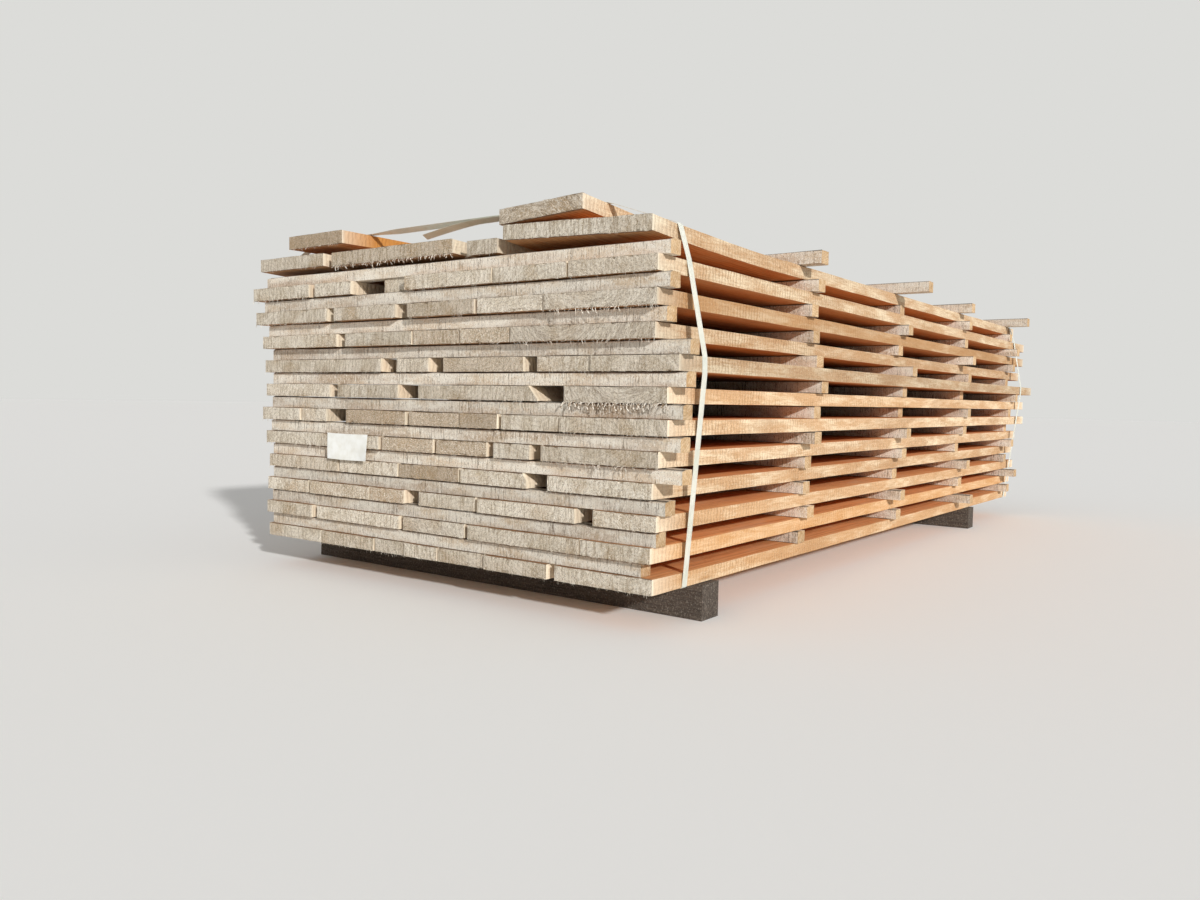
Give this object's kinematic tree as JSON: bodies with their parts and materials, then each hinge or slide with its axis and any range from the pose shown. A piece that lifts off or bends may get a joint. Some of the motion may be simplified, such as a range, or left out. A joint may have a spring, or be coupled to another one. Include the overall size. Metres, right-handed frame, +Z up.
{
  "type": "stack of lumber",
  "caption": "Pack of rough-sawn hardwood boards of random widths, stacked with stickers between courses, strapped, on two bearers, with loose boards on top.",
  "frame": {"origin": "on the floor under the middle of the pack's bounding box", "axes": "+Z up, +Y along the boards away from the ends with the card, +X to the right when facing those ends"},
  "size_m": [1.137, 2.522, 0.7243],
  "materials": {
    "sawn_board": "rough-sawn hardwood, weathered grey-brown on the ends, warm tan inside",
    "sticker": "rough-sawn lath with saw marks",
    "bearer": "dark weathered timber",
    "strap": "pale green plastic packing strap",
    "card": "blank white card"
  },
  "bodies": {
    "root": {"bearer_front": "bearer", "bearer_rear": "bearer", "board_course_01": "sawn_board", "board_course_02": "sawn_board", "board_course_03": "sawn_board", "board_course_04": "sawn_board", "board_course_05": "sawn_board", "board_course_06": "sawn_board", "board_course_07": "sawn_board", "board_course_08": "sawn_board", "board_course_09": "sawn_board", "board_course_10": "sawn_board", "board_course_11": "sawn_board", "board_course_12": "sawn_board", "label_card": "card", "loose_board_left": "sawn_board", "loose_board_right": "sawn_board", "sticker_column_1": "sticker", "sticker_column_2": "sticker", "sticker_column_3": "sticker", "sticker_column_4": "sticker", "sticker_column_5": "sticker", "strap_front": "strap", "strap_rear": "strap"}
  },
  "joints": []
}
